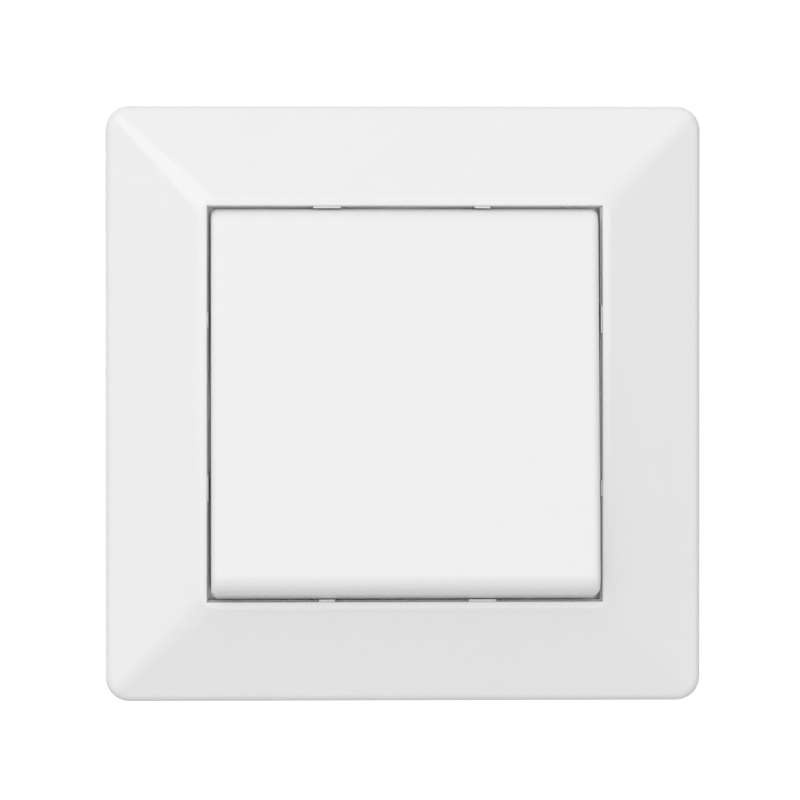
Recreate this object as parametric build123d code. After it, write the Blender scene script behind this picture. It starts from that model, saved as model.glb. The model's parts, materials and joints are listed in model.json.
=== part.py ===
from build123d import *
import math
import os

# One-gang rocker light switch for flush mounting, with its bevelled cover frame.
# Sizes are in millimetres. Every piece is drawn lying on its back: x runs to the right, y up the
# wall and z out of it, and z = 0 is the wall plane. stand_up() turns the finished piece so that
# +Z is up and the face looks along -Y. The rocker is drawn level, then tipped with its top end in.

# Cover frame
FRAME_SIZE = 82.0
FRAME_CORNER_R = 3.3
FRAME_EDGE_H = 6.0  # where the bevel starts, above the wall
FRAME_RIM_H = 10.0  # flat land around the opening
FRAME_WALL = 1.8
FRAME_EDGE_ROUND = 1.2
RIDGE_OUTER_R = 0.6  # mitre ridge where it leaves the outer corner
RIDGE_INNER_R = 2.4  # mitre ridge where it meets the land
OPENING_SIZE = 54.4
LAND_WIDTH = 1.05
LAND_ROUND = 1.2
OPENING_ROUND = 0.2
SKIRT_WALL = 1.6
RIB_WALL = 1.2
RIB_OFFSET = 19.0  # stiffening ribs, from the middle of each side

# Snap fingers of the cover frame, a wide and a narrow one on each side
FINGER_WIDTH = 3.8
FINGER_NARROW = 2.2
FINGER_OFFSET = 10.7  # top and bottom sides
FINGER_SIDE_OFFSET = 11.6  # left and right sides
FINGER_PROUD = 0.2  # how far a finger, and the step in the wall, stand into the opening
FINGER_DROP = 0.6  # its tip lies this far behind the land
STEP_DROP = 2.0  # the step lies this far behind the land
NOSE_HEIGHT = 0.45  # nose at the tip of a finger beside the rocker's ends
NOSE_GAP = 0.08  # nose to the pressed end of the rocker
HOOK_REACH = 0.95
HOOK_THICK = 0.9
HOOK_LIFT = 0.25  # hook above the mounting plate
SNAP_CLEARANCE = 0.1

# Mounting plate
PLATE_THICK = 0.9
PLATE_EDGE = 2.6  # plate beyond the ends of its slots
PLATE_CORNER = 7.0
PLATE_LEDGE = 2.0  # overlap on the base's rim
WINDOW_CORNER = 8.0
BOX_SCREW_SPACING = 60.0
SLOT_WIDTH = 4.2
SLOT_LENGTH = 4.8
BOX_HEAD_R = 3.9  # room for the head of a box screw

# Rocker cap
ROCKER_TILT = 5.0  # each way from level, in degrees
ROCKER_GAP = 0.4  # to the opening, at the pressed end
ROCKER_SIDE_GAP = 0.54
ROCKER_PROUD = 0.15  # pressed end over the land
ROCKER_WALL = 1.8
ROCKER_END_ROUND = 2.5
ROCKER_SIDE_ROUND = 0.9
ROCKER_REAR_CORNER_R = 1.3  # plan corners widen towards the rear edge
ROCKER_CLEARANCE = 0.6  # rear edge over the carrier at full tilt
LEG_WIDTH = 10.0
LEG_WALL = 1.3
LEG_HOOK = 0.6
CAP_RIB_H = 1.2
SEAT_CLEARANCE = 0.05

# Clip carrier
CARRIER_EDGE_GAP = 0.5  # carrier edge to the opening's wall
CARRIER_FLANGE = 1.4
CARRIER_CORNER_R = 2.0
TOWER_WALL = 3.6
TOWER_WIDTH = 8.0
TOWER_WRAP = 0.73  # share of the bearing's radius that the tower reaches above its axis
TOWER_GAP = 0.4  # tower to the end of the actuator's beam
BEARING_CLEARANCE = 0.05
STOP_CLEARANCE = 0.08
STOP_WIDTH = 1.3

# Actuator, plunger and spring
TRUNNION_R = 2.0
BEAM_LENGTH = 32.4
BEAM_WIDTH = 14.0
BEAM_DROP = 1.9  # underside below the pivot
BEAM_FOOT = 2.2  # length of each beam end that lies over the carrier
STEM_R = 4.0
BORE_ROOF = 1.9
PLUNGER_R = 2.2
PLUNGER_CLEARANCE = 0.08
PLUNGER_TIP_R = 1.7
PLUNGER_EXPOSED = 5.3
PLUNGER_GUIDE = 4.5  # length inside the stem
PLUNGER_GAP = 0.12  # tip over the level blade
SPRING_WIRE_R = 0.25
SPRING_TURNS = 6

# Contact blade, contacts and strips
BLADE_PIVOT_DEPTH = 9.2
BLADE_TILT = 11.2  # each way from level, in degrees
BLADE_THICK = 0.8
BLADE_WIDTH = 7.2
BLADE_TAIL_GAP = 1.0  # blade's tail to the wall of its cavity
BLADE_NOSE = 2.0  # beyond the moving contact
CONTACT_R = 1.8
CONTACT_HEAD = 0.8
CONTACT_DOME = 0.4
CONTACT_GAP = 0.1
CONTACT_LEG_GAP = 0.28  # fixed contact's head to the leg of the load strip
RIVET_R = 0.9
RIVET_CLEARANCE = 0.02
RIVET_TAIL_R = 1.3
RIVET_TAIL = 0.35
STRIP_THICK = 1.0
STRIP_WIDTH = 5.0
KNIFE_SLOPE = 35.0
KNIFE_GAP = 0.05
EAR_WIDTH = 0.9
EAR_RISE = 0.8
EAR_PLAY = 0.15
NOTCH_PLAY = 0.45

# Terminals
CAGE_WIDTH = 9.0
CAGE_DEPTH = 7.4
CAGE_HEIGHT = 7.5
CAGE_WALL = 1.1
CAGE_CLEARANCE = 0.3
STRIP_CLEARANCE = 0.1
TERMINAL_SCREW_R = 1.75
TERMINAL_HEAD_R = 2.5
TERMINAL_HEAD = 1.6
TERMINAL_TRAVEL = 2.9
THREAD_CLEARANCE = 0.05
TIP_GAP = 0.15
SLOT_CUT = 0.8  # driver slots: width and depth
WIRE_R = 1.7
WIRE_FUNNEL = 0.5

# Base
BASE_WIDTH = 40.0
BASE_HEIGHT = 42.0
BASE_DEPTH = 20.0
BASE_WALL = 1.8
BASE_FLOOR = 2.0
BASE_CORNER_R = 4.0
BASE_BACK_ROUND = 1.2
CAVITY_MARGIN = 2.9  # beside the blade
STOP_LEDGE = 1.5
CORE_SLOTS = 3  # cored-out slots on each side of the contact cavity
ACCESS_CLEARANCE = 0.3
RELIEF = 0.5  # depth of the shallow recesses in the base's outer faces
FIELD_MARGIN = 2.5  # recessed field on the back, to the base's sides and the wire entries
FIELD_CORNER_R = 1.5
GAUGE_LENGTH = 11.0  # stripping gauge beside each wire entry
GAUGE_WIDTH = 1.6
GUIDE_MARGIN = 1.4  # screwdriver guide around a terminal's access hole
BAY_MARGIN = 1.6  # bay in the base's side, beside its claw

# Chassis screws
CHASSIS_SCREW_INSET = 3.0  # from the base's sides
CHASSIS_SCREW_R = 1.3
CHASSIS_SCREW_DEPTH = 8.0  # into the base
CHASSIS_HEAD_R = 2.5
CHASSIS_HEAD = 1.7
CROSS_SHARE = 0.6  # share of the head's radius that the cross slot reaches
SCREW_PLAY = 0.3

# Claws, with their pins and screws
CLAW_OFFSET = 6.5  # right claw above the middle, left claw below it
CLAW_WIDTH = 6.4
CLAW_THICK = 1.2
CLAW_BASE_GAP = 0.8
CLAW_SHELF_END = 1.5  # inner end of the shelf to the screw's axis
CLAW_ARM = 3.4  # screw's axis to the pin
CLAW_PIN_DEPTH = 3.0
CLAW_PIN_R = 0.95
CLAW_KNUCKLE_R = 1.7
CLAW_DEPTH = 20.0
CLAW_TOE = 1.5
CLAW_TEETH = 3
CLAW_TOOTH = 0.9
CLAW_SWING = 15.0  # degrees
PIN_CLEARANCE = 0.06
PIN_HEAD_R = 1.5
PIN_HEAD = 0.5
LUG_R = 1.6
LUG_GAP = 0.2
CLAW_SCREW_R = 1.45
CLAW_HEAD_R = 2.75
CLAW_HEAD = 1.8
CLAW_HEAD_REST = 0.4  # head over the plate, with the claw spread
CLAW_HEAD_ROOM = 0.45
POINT_SHARE = 0.8  # share of the claw screw's radius that its point takes off

CUT = 1.0  # how far a cutting tool reaches past the face that it opens
NEAR = 0.01  # tolerance for finding edges by their place

# Levels and places that follow from the sizes above
TILT = math.radians(ROCKER_TILT)
HALF_OPENING = OPENING_SIZE / 2
LAND_SIZE = OPENING_SIZE + 2 * LAND_WIDTH
SWING = HALF_OPENING * math.sin(TILT)
HOOK_H = PLATE_THICK + HOOK_LIFT
FLANGE_H = HOOK_H + HOOK_THICK + SNAP_CLEARANCE
CARRIER_TOP_H = FLANGE_H + CARRIER_FLANGE
PIVOT_H = CARRIER_TOP_H + SWING + ROCKER_CLEARANCE
FACE_H = FRAME_RIM_H + ROCKER_PROUD + SWING
SKIRT_BACK_H = CARRIER_TOP_H + ROCKER_CLEARANCE
FINGER_IN = HALF_OPENING - FINGER_PROUD

ROCKER_HALF_W = HALF_OPENING - ROCKER_SIDE_GAP
ROCKER_REAR = (HALF_OPENING - ROCKER_GAP) / math.cos(TILT)
ROCKER_FRONT = ROCKER_REAR - (FACE_H - PIVOT_H) * math.tan(TILT)
CAP_INSIDE_H = FACE_H - ROCKER_WALL

BEAM_TOP_H = CAP_INSIDE_H - CAP_RIB_H - SEAT_CLEARANCE
BEAM_BOTTOM_H = PIVOT_H - BEAM_DROP
TOWER_X = BEAM_LENGTH / 2 + TOWER_GAP
CARRIER_HALF = HALF_OPENING - CARRIER_EDGE_GAP
CARRIER_STEP = FINGER_IN - HOOK_REACH - HOOK_THICK
CARRIER_WINDOW_X = BEAM_LENGTH / 2 - BEAM_FOOT
CARRIER_WINDOW_Y = BEAM_WIDTH / 2 + 2 * LEG_WALL

BLADE_H = -BLADE_PIVOT_DEPTH
FLOOR_H = BASE_FLOOR - BASE_DEPTH
PLUNGER_TIP_H = BLADE_H + BLADE_THICK + PLUNGER_GAP
STEM_END_H = PLUNGER_TIP_H + PLUNGER_EXPOSED
PLUNGER_TOP_H = STEM_END_H + PLUNGER_GUIDE
BORE_R = PLUNGER_R + PLUNGER_CLEARANCE
BORE_TOP_H = BEAM_TOP_H - BORE_ROOF

CAGE_OUT = BASE_HEIGHT / 2 - BASE_WALL - CAGE_CLEARANCE
CAGE_IN = CAGE_OUT - CAGE_DEPTH
CAGE_BOTTOM_H = FLOOR_H + STRIP_THICK + STRIP_CLEARANCE
CAGE_TOP_H = CAGE_BOTTOM_H + CAGE_HEIGHT
TAB_Y = CAGE_IN + CAGE_WALL + STRIP_CLEARANCE + STRIP_THICK / 2
FOOT_H = FLOOR_H + STRIP_THICK / 2
STRIP_BEND_R = STRIP_THICK / 2 + STRIP_CLEARANCE
WIRE_Y = (TAB_Y + STRIP_THICK / 2 + CAGE_OUT - CAGE_WALL) / 2
TERMINAL_SCREW_H = (CAGE_BOTTOM_H + CAGE_TOP_H) / 2
CAVITY_X = BLADE_WIDTH / 2 + CAVITY_MARGIN
CAVITY_Y = CAGE_IN - CAGE_CLEARANCE
BLADE_TAIL = CAVITY_Y - BLADE_TAIL_GAP
LOAD_LEG_Y = CAGE_IN - STRIP_CLEARANCE - STRIP_THICK / 2

# The moving contact's dome touches down where its sphere is lowest, with the blade tipped to the
# contact side.
BLADE_TIP = math.radians(BLADE_TILT)
DOME_R = (CONTACT_R**2 + CONTACT_DOME**2) / (2 * CONTACT_DOME)
DOME_RISE = DOME_R - CONTACT_HEAD
CONTACT_Y = CONTACT_LEG_GAP + CONTACT_R + STRIP_THICK / 2 - LOAD_LEG_Y
CONTACT_ARM = (-CONTACT_Y - DOME_RISE * math.sin(BLADE_TIP)) / math.cos(BLADE_TIP)
CONTACT_H = BLADE_H - CONTACT_ARM * math.sin(BLADE_TIP) + DOME_RISE * math.cos(BLADE_TIP) - DOME_R
SHELF_H = CONTACT_H - CONTACT_GAP - CONTACT_HEAD

CHASSIS_X = BASE_WIDTH / 2 - CHASSIS_SCREW_INSET
CHASSIS_Y = BASE_HEIGHT / 2 - CHASSIS_SCREW_INSET

CLAW_SHELF_X = BASE_WIDTH / 2 + CLAW_BASE_GAP
CLAW_SCREW_X = CLAW_SHELF_X + CLAW_SHELF_END
CLAW_PIN_X = CLAW_SCREW_X + CLAW_ARM
CLAW_SHELF_H = -CLAW_PIN_DEPTH - CLAW_THICK / 3
CLAW_LEG_X = CLAW_PIN_X + CLAW_THICK
LUG_Y = CLAW_WIDTH / 2 + LUG_GAP
CLAW_HEAD_H = PLATE_THICK + CLAW_HEAD_REST + CLAW_ARM * math.sin(math.radians(CLAW_SWING))
PLATE_SIZE = BOX_SCREW_SPACING + SLOT_LENGTH + 2 * PLATE_EDGE


def block(x0, x1, y0, y1, z0, z1):
    """Box between two limits on each axis."""
    return Pos((x0 + x1) / 2, (y0 + y1) / 2, (z0 + z1) / 2) * Box(x1 - x0, y1 - y0, z1 - z0)


def slab(half_x, half_y, z0, z1):
    """Box centred on the z axis."""
    return block(-half_x, half_x, -half_y, half_y, z0, z1)


def post(radius, x, y, z0, z1):
    """Cylinder along z."""
    return Pos(x, y, (z0 + z1) / 2) * Cylinder(radius, z1 - z0)


def rod_x(radius, x0, x1, y, z):
    """Cylinder along x."""
    return Pos((x0 + x1) / 2, y, z) * Rot(0, 90, 0) * Cylinder(radius, x1 - x0)


def rod_y(radius, x, y0, y1, z):
    """Cylinder along y."""
    return Pos(x, (y0 + y1) / 2, z) * Rot(90, 0, 0) * Cylinder(radius, y1 - y0)


def side_profile(face, half_width):
    """Solid from a face drawn in y and z, as wide as half_width on both sides of x = 0."""
    return extrude(Plane.YZ * face, half_width, both=True)


def bent_strip(points, thickness, bend_r):
    """Face of a bent strip that follows the points at mid thickness."""
    return trace(FilletPolyline(*points, radius=bend_r), thickness)


def turned(shape):
    """The same shape on the opposite side, half a turn about z."""
    return Rot(0, 0, 180) * shape


def tipped(shape, pivot_h, degrees):
    """Shape turned about the x direction through a pivot at height pivot_h."""
    return Pos(0, 0, pivot_h) * Rot(degrees, 0, 0) * Pos(0, 0, -pivot_h) * shape


def stand_up(shape):
    """Turn a piece from lying on its back to its place on the wall."""
    return Rot(90, 0, 0) * shape


def bevelled_block(size, corner_r, base_h, edge_h, top_h, top_size, top_r):
    """Straight square prism with a bevelled upper part that ends in a flat top."""
    foot = RectangleRounded(size, size, corner_r)
    top = RectangleRounded(top_size, top_size, top_r)
    bevel = loft([Pos(0, 0, edge_h) * foot, Pos(0, 0, top_h) * top], ruled=True)
    return Pos(0, 0, base_h) * extrude(foot, edge_h - base_h) + bevel


def snap_finger(offset, width, nose_in):
    """Finger on the top side of the opening: nose at its tip, hook under the carrier's flange."""
    x0 = offset - width / 2
    x1 = offset + width / 2
    arm_out = HALF_OPENING + SKIRT_WALL
    tip_h = FRAME_RIM_H - FINGER_DROP
    arm = block(x0, x1, FINGER_IN, arm_out, HOOK_H, tip_h)
    arm += block(x0, x1, nose_in, arm_out, tip_h - NOSE_HEIGHT, tip_h)
    hook_in = FINGER_IN - HOOK_REACH
    hook = block(x0, x1, hook_in, arm_out, HOOK_H, HOOK_H + HOOK_THICK)
    lead = hook.edges().filter_by(Axis.X).sort_by(Axis.Z)[:2].sort_by(Axis.Y)[0]
    return arm + chamfer(lead, HOOK_THICK / 2)


def cover_frame():
    """Moulded frame: bevelled shell, skirt around the opening, ribs and snap fingers."""
    outline = extrude(RectangleRounded(FRAME_SIZE, FRAME_SIZE, FRAME_CORNER_R), FRAME_RIM_H)
    shell = outline & bevelled_block(
        FRAME_SIZE, RIDGE_OUTER_R, 0, FRAME_EDGE_H, FRAME_RIM_H, LAND_SIZE, RIDGE_INNER_R
    )
    side_tops = [
        edge
        for edge in shell.edges()
        if FRAME_EDGE_H - NEAR < edge.center().Z < (FRAME_EDGE_H + FRAME_RIM_H) / 2
        and max(abs(edge.center().X), abs(edge.center().Y)) > FRAME_SIZE / 2 - FRAME_CORNER_R
        and abs(edge.bounding_box().size.Z) < FRAME_CORNER_R / 2
    ]
    shell = fillet(side_tops, FRAME_EDGE_ROUND)
    shell = fillet(shell.faces().sort_by(Axis.Z)[-1].edges(), LAND_ROUND)

    slope = math.atan2(FRAME_RIM_H - FRAME_EDGE_H, (FRAME_SIZE - LAND_SIZE) / 2)
    drop = FRAME_WALL / math.cos(slope)
    hollow_edge_h = FRAME_EDGE_H + FRAME_WALL * math.tan(slope) - drop
    hollow = bevelled_block(
        FRAME_SIZE - 2 * FRAME_WALL, RIDGE_OUTER_R, -CUT, hollow_edge_h, FRAME_RIM_H - drop,
        LAND_SIZE, RIDGE_INNER_R,
    )
    skirt_half = HALF_OPENING + SKIRT_WALL
    kept = slab(skirt_half, skirt_half, SKIRT_BACK_H, FRAME_RIM_H)
    wall_in = FRAME_SIZE / 2 - FRAME_WALL
    for side in range(4):
        for offset in (-RIB_OFFSET, 0, RIB_OFFSET):
            rib = block(
                offset - RIB_WALL / 2, offset + RIB_WALL / 2, HALF_OPENING, wall_in + CUT,
                SKIRT_BACK_H, FRAME_RIM_H,
            )
            kept += Rot(0, 0, 90 * side) * rib
    body = shell - (hollow - kept)
    body -= slab(FINGER_IN, FINGER_IN, -CUT, FRAME_RIM_H + CUT)
    body -= slab(HALF_OPENING, HALF_OPENING, FRAME_RIM_H - STEP_DROP, FRAME_RIM_H + CUT)
    mouth = [
        edge
        for edge in body.edges()
        if abs(edge.center().Z - FRAME_RIM_H) < NEAR
        and max(abs(edge.center().X), abs(edge.center().Y)) < HALF_OPENING + NEAR
    ]
    body = fillet(mouth, OPENING_ROUND)
    end_nose = HALF_OPENING - ROCKER_GAP + NOSE_GAP
    rows = ((FINGER_OFFSET, end_nose), (FINGER_SIDE_OFFSET, FINGER_IN))
    for side in range(4):
        offset, nose_in = rows[side % 2]
        for place, width in ((-offset, FINGER_WIDTH), (offset, FINGER_NARROW)):
            body += Rot(0, 0, 90 * side) * snap_finger(place, width, nose_in)
    return body


def rocker_profile(inset, corner_r):
    """Side view of the rocker in y and z, drawn in from its outer surface by inset."""
    rear = ROCKER_REAR - inset
    front = ROCKER_FRONT - inset
    top_h = FACE_H - inset
    low_h = PIVOT_H if inset == 0 else PIVOT_H - CUT
    outline = Polyline((-rear, low_h), (rear, low_h), (front, top_h), (-front, top_h), close=True)
    face = make_face(outline)
    return fillet(face.vertices().group_by(Axis.Y)[-1], corner_r)


def rocker_cap():
    """Key of the switch: hollow cap with drafted ends, round-overs and two clip legs."""
    cap = side_profile(rocker_profile(0, ROCKER_END_ROUND), ROCKER_HALF_W)
    rims = [
        edge
        for edge in cap.edges()
        if abs(abs(edge.center().X) - ROCKER_HALF_W) < NEAR and edge.center().Z > PIVOT_H + NEAR
    ]
    cap = fillet(rims, ROCKER_SIDE_ROUND)
    spare = SNAP_CLEARANCE / 2
    rear_face = RectangleRounded(
        2 * (ROCKER_HALF_W + spare), 2 * (ROCKER_REAR + spare), ROCKER_REAR_CORNER_R
    )
    front_face = RectangleRounded(
        2 * (ROCKER_HALF_W + spare), 2 * (ROCKER_FRONT + spare), ROCKER_SIDE_ROUND
    )
    cap &= loft([Pos(0, 0, PIVOT_H) * rear_face, Pos(0, 0, FACE_H) * front_face], ruled=True)
    inner_r = ROCKER_END_ROUND - ROCKER_WALL / 2
    cap -= side_profile(rocker_profile(ROCKER_WALL, inner_r), ROCKER_HALF_W - ROCKER_WALL)

    leg_in = BEAM_WIDTH / 2 + SEAT_CLEARANCE
    rib_x = BEAM_LENGTH / 2 - LEG_WALL
    hook_top_h = BEAM_BOTTOM_H - SEAT_CLEARANCE
    for side in (0, 180):
        leg = block(
            -LEG_WIDTH / 2, LEG_WIDTH / 2, leg_in, leg_in + LEG_WALL,
            hook_top_h - HOOK_THICK, CAP_INSIDE_H + ROCKER_WALL / 2,
        )
        hook = block(
            -LEG_WIDTH / 2, LEG_WIDTH / 2, leg_in - LEG_HOOK, leg_in + LEG_WALL,
            hook_top_h - HOOK_THICK, hook_top_h,
        )
        lead = hook.edges().filter_by(Axis.X).sort_by(Axis.Z)[:2].sort_by(Axis.Y)[0]
        leg += chamfer(lead, LEG_HOOK / 2)
        rib_out = leg_in - LEG_WALL
        rib = block(
            -rib_x, rib_x, rib_out - LEG_WALL, rib_out,
            BEAM_TOP_H + SEAT_CLEARANCE, CAP_INSIDE_H + ROCKER_WALL / 2,
        )
        cap += Rot(0, 0, side) * (leg + rib)
    return tipped(cap, PIVOT_H, -ROCKER_TILT)


def actuator():
    """Lever under the cap: beam with trunnions, and a hollow stem for the plunger."""
    beam = block(
        -BEAM_LENGTH / 2, BEAM_LENGTH / 2, -BEAM_WIDTH / 2, BEAM_WIDTH / 2, BEAM_BOTTOM_H, BEAM_TOP_H
    )
    pocket_wall = LEG_WALL + BEAM_FOOT
    for side in (-1, 1):
        x0, x1 = sorted((side * (STEM_R + pocket_wall / 2), side * (BEAM_LENGTH / 2 - pocket_wall)))
        half_y = BEAM_WIDTH / 2 - pocket_wall / 2
        beam -= block(x0, x1, -half_y, half_y, BEAM_BOTTOM_H - CUT, BEAM_TOP_H - BORE_ROOF)
    pin_end = TOWER_X + TOWER_WALL - TOWER_GAP
    lever = beam + rod_x(TRUNNION_R, -pin_end, pin_end, 0, PIVOT_H)
    lever += post(STEM_R, 0, 0, STEM_END_H, BEAM_TOP_H)
    lever -= post(BORE_R, 0, 0, STEM_END_H - CUT, BORE_TOP_H)
    return tipped(lever, PIVOT_H, -ROCKER_TILT)


def plunger():
    """Nylon pin with a domed tip that wipes over the blade."""
    shoulder_h = PLUNGER_TIP_H + PLUNGER_TIP_R
    body = post(PLUNGER_R, 0, 0, shoulder_h + PLUNGER_TIP_R, PLUNGER_TOP_H)
    body = chamfer(body.edges().group_by(Axis.Z)[0], PLUNGER_R - PLUNGER_TIP_R)
    tip = post(PLUNGER_TIP_R, 0, 0, shoulder_h, shoulder_h + 2 * PLUNGER_TIP_R)
    dome = Pos(0, 0, shoulder_h) * Sphere(PLUNGER_TIP_R)
    return tipped(body + tip + dome, PIVOT_H, -ROCKER_TILT)


def plunger_spring():
    """Compression spring between the plunger and the roof of the stem's bore."""
    coil_r = PLUNGER_TIP_R
    low_h = PLUNGER_TOP_H + SPRING_WIRE_R + SEAT_CLEARANCE
    rise = BORE_TOP_H - SPRING_WIRE_R - SEAT_CLEARANCE - low_h
    path = Helix(rise / SPRING_TURNS, rise, coil_r)
    section = Plane(origin=path @ 0, z_dir=path % 0) * Circle(SPRING_WIRE_R)
    coil = sweep(section, path, is_frenet=True)
    return tipped(Pos(0, 0, low_h) * coil, PIVOT_H, -ROCKER_TILT)


def contact_blade():
    """See-saw strip with side notches for the ears that hold it on the knife edge."""
    top_h = BLADE_H + BLADE_THICK
    blade = block(
        -BLADE_WIDTH / 2, BLADE_WIDTH / 2, -CONTACT_ARM - BLADE_NOSE, BLADE_TAIL, BLADE_H, top_h
    )
    blade = fillet(blade.edges().filter_by(Axis.Z), BLADE_NOSE)
    notch_x = BLADE_WIDTH / 2 - EAR_WIDTH - EAR_PLAY
    notch_y = STRIP_THICK / 2 + NOTCH_PLAY
    for side in (0, 180):
        notch = block(notch_x, BLADE_WIDTH, -notch_y, notch_y, BLADE_H - CUT, top_h + CUT)
        blade -= Rot(0, 0, side) * notch
    blade -= post(RIVET_R + RIVET_CLEARANCE, 0, -CONTACT_ARM, BLADE_H - CUT, top_h + CUT)
    return tipped(blade, BLADE_H, BLADE_TILT)


def moving_contact():
    """Silver rivet with a domed face, through the blade."""
    top_h = BLADE_H + BLADE_THICK
    rivet = post(RIVET_R, 0, -CONTACT_ARM, BLADE_H, top_h)
    rivet += post(RIVET_TAIL_R, 0, -CONTACT_ARM, top_h, top_h + RIVET_TAIL)
    head = post(CONTACT_R, 0, -CONTACT_ARM, BLADE_H - CONTACT_HEAD, BLADE_H)
    head &= Pos(0, -CONTACT_ARM, BLADE_H + DOME_RISE) * Sphere(DOME_R)
    return tipped(rivet + head, BLADE_H, BLADE_TILT)


def fixed_contact():
    """Flat silver rivet in the load strip's shelf."""
    under_h = SHELF_H - STRIP_THICK
    rivet = post(RIVET_R, 0, CONTACT_Y, under_h, SHELF_H)
    rivet += post(RIVET_TAIL_R, 0, CONTACT_Y, under_h - RIVET_TAIL, under_h)
    return rivet + post(CONTACT_R, 0, CONTACT_Y, SHELF_H, SHELF_H + CONTACT_HEAD)


def line_strip():
    """Brass strip: knife edge with two ears at one end, terminal tab at the other."""
    knife_h = BLADE_H - KNIFE_GAP
    shoulder_h = knife_h - STRIP_THICK / 2 * math.tan(math.radians(KNIFE_SLOPE))
    tab_top_h = CAGE_TOP_H - CAGE_WALL
    route = ((0, shoulder_h), (0, FOOT_H), (TAB_Y, FOOT_H), (TAB_Y, tab_top_h))
    strip = side_profile(bent_strip(route, STRIP_THICK, STRIP_BEND_R), STRIP_WIDTH / 2)
    half = STRIP_THICK / 2
    upright_h = FLOOR_H + STRIP_THICK + STRIP_BEND_R
    roof = Polyline(
        (-half, upright_h), (half, upright_h), (half, shoulder_h), (0, knife_h), (-half, shoulder_h),
        close=True,
    )
    strip += side_profile(make_face(roof), BLADE_WIDTH / 2)
    ear_in = BLADE_WIDTH / 2 - EAR_WIDTH
    for side in (0, 180):
        ear = block(
            ear_in, BLADE_WIDTH / 2, -half, half,
            shoulder_h - STRIP_THICK, BLADE_H + BLADE_THICK + EAR_RISE,
        )
        strip += Rot(0, 0, side) * ear
    return strip


def load_strip():
    """Brass strip: shelf for the fixed contact, a leg to the floor and the terminal tab."""
    shelf_mid_h = SHELF_H - STRIP_THICK / 2
    route = (
        (CONTACT_Y + CONTACT_R + STRIP_THICK, shelf_mid_h), (-LOAD_LEG_Y, shelf_mid_h),
        (-LOAD_LEG_Y, FOOT_H), (-TAB_Y, FOOT_H), (-TAB_Y, CAGE_TOP_H - CAGE_WALL),
    )
    strip = side_profile(bent_strip(route, STRIP_THICK, STRIP_BEND_R), STRIP_WIDTH / 2)
    return strip - post(
        RIVET_R + RIVET_CLEARANCE, 0, CONTACT_Y, shelf_mid_h - STRIP_THICK, shelf_mid_h + STRIP_THICK
    )


def terminal_clamp():
    """Cage of the upper terminal: a square tube along z with a tapped outer wall."""
    half = CAGE_WIDTH / 2
    cage = block(-half, half, CAGE_IN, CAGE_OUT, CAGE_BOTTOM_H, CAGE_TOP_H)
    cage = fillet(cage.edges().filter_by(Axis.Z), CAGE_WALL / 2)
    inside = half - CAGE_WALL
    cage -= block(
        -inside, inside, CAGE_IN + CAGE_WALL, CAGE_OUT - CAGE_WALL,
        CAGE_BOTTOM_H - CUT, CAGE_TOP_H + CUT,
    )
    return cage - rod_y(
        TERMINAL_SCREW_R + THREAD_CLEARANCE, 0, CAGE_OUT - 2 * CAGE_WALL, CAGE_OUT + CUT, TERMINAL_SCREW_H
    )


def terminal_screw():
    """Screw of the upper terminal, backed off to leave the wire space free."""
    tip_y = CAGE_OUT - CAGE_WALL - TIP_GAP
    head_y = CAGE_OUT + TIP_GAP + TERMINAL_TRAVEL
    screw = rod_y(TERMINAL_SCREW_R, 0, tip_y, head_y, TERMINAL_SCREW_H)
    head = rod_y(TERMINAL_HEAD_R, 0, head_y, head_y + TERMINAL_HEAD, TERMINAL_SCREW_H)
    head = chamfer(head.edges().sort_by(Axis.Y)[-1], SLOT_CUT / 3)
    end_y = head_y + TERMINAL_HEAD
    head -= block(
        -TERMINAL_HEAD_R, TERMINAL_HEAD_R, end_y - SLOT_CUT, end_y + CUT,
        TERMINAL_SCREW_H - SLOT_CUT / 2, TERMINAL_SCREW_H + SLOT_CUT / 2,
    )
    return screw + head


def chassis_places():
    """The four corners where carrier, plate and base are screwed together."""
    return [(x, y) for x in (-CHASSIS_X, CHASSIS_X) for y in (-CHASSIS_Y, CHASSIS_Y)]


def chassis_screws():
    """Four cross-slotted pan-head screws."""
    screws = []
    head_top_h = CARRIER_TOP_H + CHASSIS_HEAD
    for x, y in chassis_places():
        head = post(CHASSIS_HEAD_R, x, y, CARRIER_TOP_H, head_top_h)
        head = fillet(head.edges().sort_by(Axis.Z)[-1], CHASSIS_HEAD / 2)
        for angle in (0, 90):
            slot = block(
                -CROSS_SHARE * CHASSIS_HEAD_R, CROSS_SHARE * CHASSIS_HEAD_R, -SLOT_CUT / 2, SLOT_CUT / 2,
                head_top_h - SLOT_CUT, head_top_h + CUT,
            )
            head -= Pos(x, y, 0) * Rot(0, 0, angle) * slot
        screw = head + post(CHASSIS_SCREW_R, x, y, -CHASSIS_SCREW_DEPTH, CARRIER_TOP_H)
        screws.append(screw.solid())
    return Compound(screws)


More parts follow.
